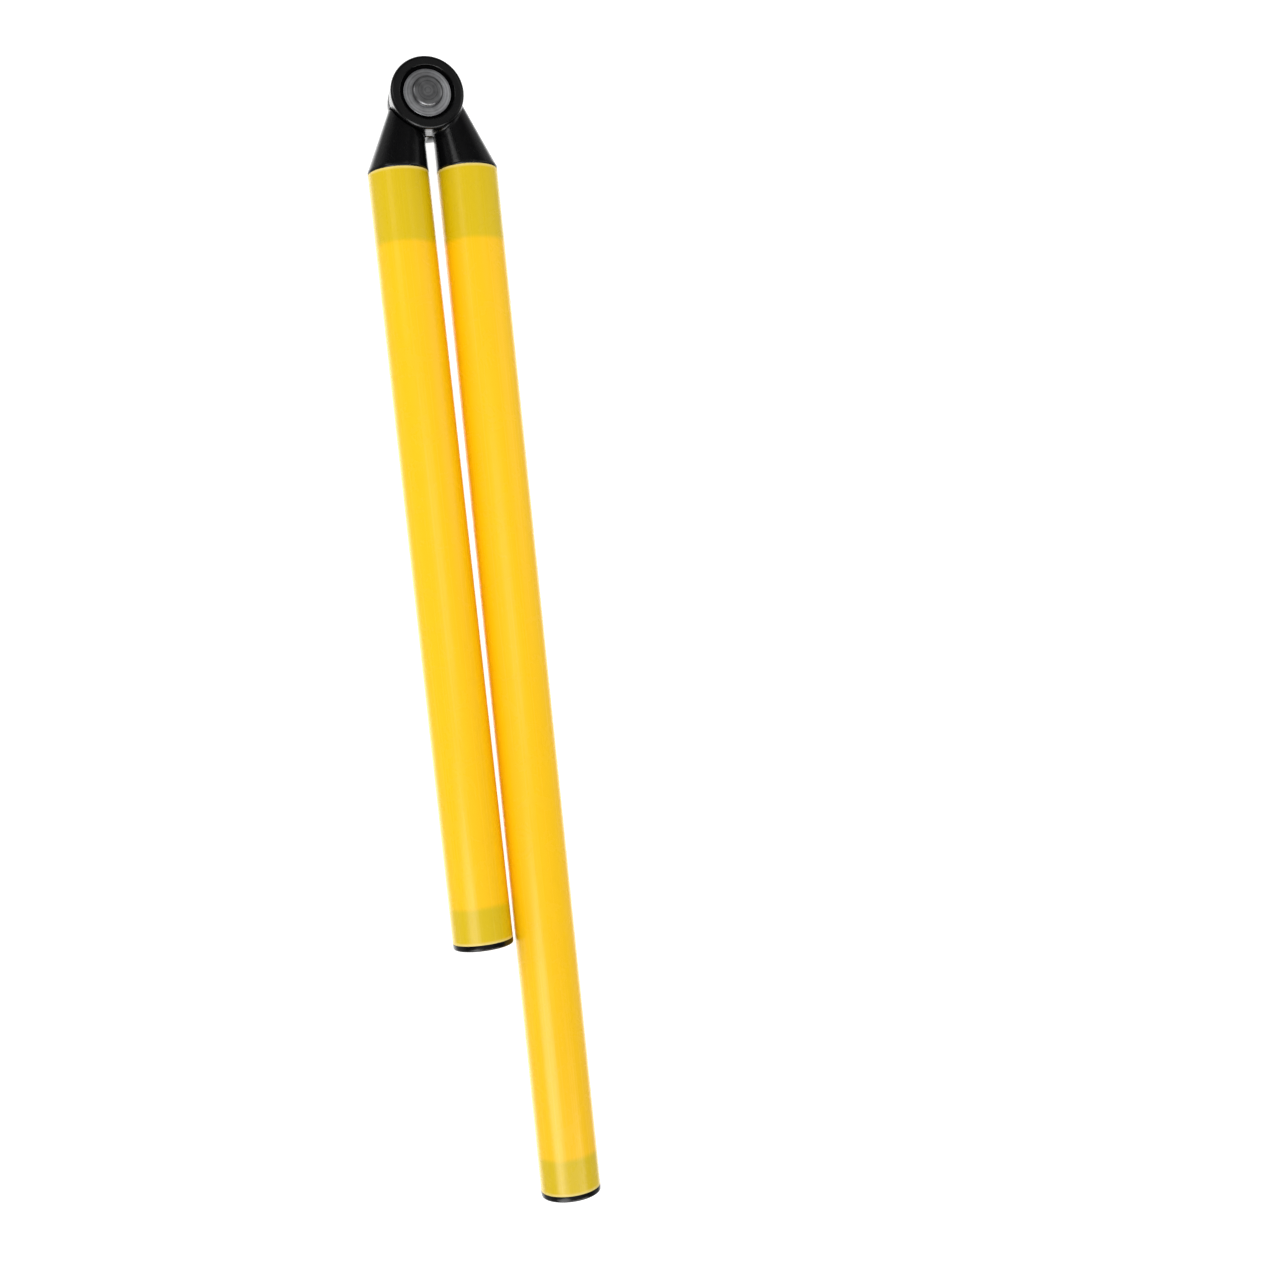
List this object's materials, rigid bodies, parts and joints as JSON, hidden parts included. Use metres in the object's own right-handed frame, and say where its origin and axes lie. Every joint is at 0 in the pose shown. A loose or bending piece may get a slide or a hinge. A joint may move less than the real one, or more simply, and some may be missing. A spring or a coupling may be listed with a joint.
{
  "type": "folding alignment stick",
  "caption": "Folding golf alignment stick: a long and a short yellow tube joined by an offset riveted hinge, with black end caps.",
  "frame": {"origin": "on the hinge axis, in the plane of the rear hinge disc's outer face; the tubes reach 2 mm below it", "axes": "+Z along the hinge axis towards the rivet's head, +Y from the tubes towards the hinge, +X towards the long leg; the stick lies folded on its side"},
  "size_m": [0.0534, 0.4723, 0.025],
  "materials": {
    "yellow_tube": "smooth, slightly translucent",
    "black_moulding": "moulded, semi-gloss",
    "black_cap": "moulded, semi-gloss",
    "washer_steel": "zinc plated, faint turning marks",
    "rivet_steel": "zinc plated, satin",
    "nylon": "plain"
  },
  "bodies": {
    "long_leg": {"long_tube": "yellow_tube", "front_knuckle": "black_moulding", "long_end_cap": "black_cap", "front_washer": "washer_steel", "rear_washer": "washer_steel", "friction_washer": "nylon", "pivot_rivet": "rivet_steel"},
    "short_leg": {"short_tube": "yellow_tube", "rear_knuckle": "black_moulding", "short_end_cap": "black_cap"}
  },
  "joints": [
    {"name": "fold_hinge", "type": "hinge", "parent": "long_leg", "child": "short_leg", "pos_m": [0, 0, 0.0105], "axis": [0, 0, -1], "range_deg": [0, 180.43]}
  ]
}
